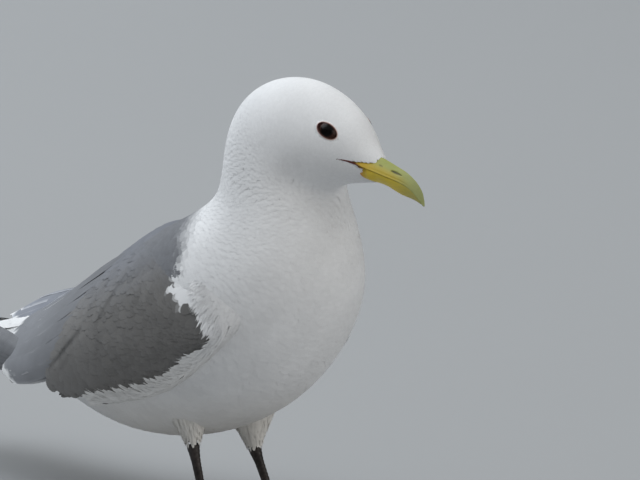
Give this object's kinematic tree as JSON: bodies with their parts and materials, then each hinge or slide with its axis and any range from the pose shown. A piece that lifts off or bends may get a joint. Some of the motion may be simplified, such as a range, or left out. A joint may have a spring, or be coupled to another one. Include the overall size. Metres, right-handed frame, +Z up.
{
  "type": "black-legged kittiwake, adult, standing",
  "caption": "Adult black-legged kittiwake standing on a thin oval base: white head and underparts, blue-grey back and folded wings with black tips, slim yellow bill, black webbed feet.",
  "frame": {"origin": "on the floor under the middle of the whole model's box", "axes": "+X the way the body faces, +Y the bird's left, +Z up"},
  "size_m": [0.3918, 0.112, 0.2095],
  "materials": {
    "plumage_white": "soft matt white feathers",
    "plumage_grey": "matt blue-grey feathers, paler towards the tips, white edges to tertials and secondaries",
    "plumage_black": "matt black primary tips, grey towards their roots",
    "bill": "satin horn, yellow with a greenish ridge and tip",
    "eye": "glossy, very dark brown",
    "leg": "satin black scaled skin",
    "claw": "smooth black horn",
    "stand": "plain painted grey, matt"
  },
  "bodies": {
    "root": {"bill_lower": "bill", "bill_upper": "bill", "claw_inner_left": "claw", "claw_inner_right": "claw", "claw_middle_left": "claw", "claw_middle_right": "claw", "claw_outer_left": "claw", "claw_outer_right": "claw", "eye_left": "eye", "eye_right": "eye", "foot_left": "leg", "foot_right": "leg", "head": "plumage_white", "neck": "plumage_white", "shank_left": "leg", "shank_right": "leg", "stand_base": "stand", "tail": "plumage_white", "thigh_left": "plumage_white", "thigh_right": "plumage_white", "trunk": "plumage_white", "wing_left": "plumage_grey", "wing_right": "plumage_grey", "wingtip_left": "plumage_black", "wingtip_right": "plumage_black"}
  },
  "joints": []
}
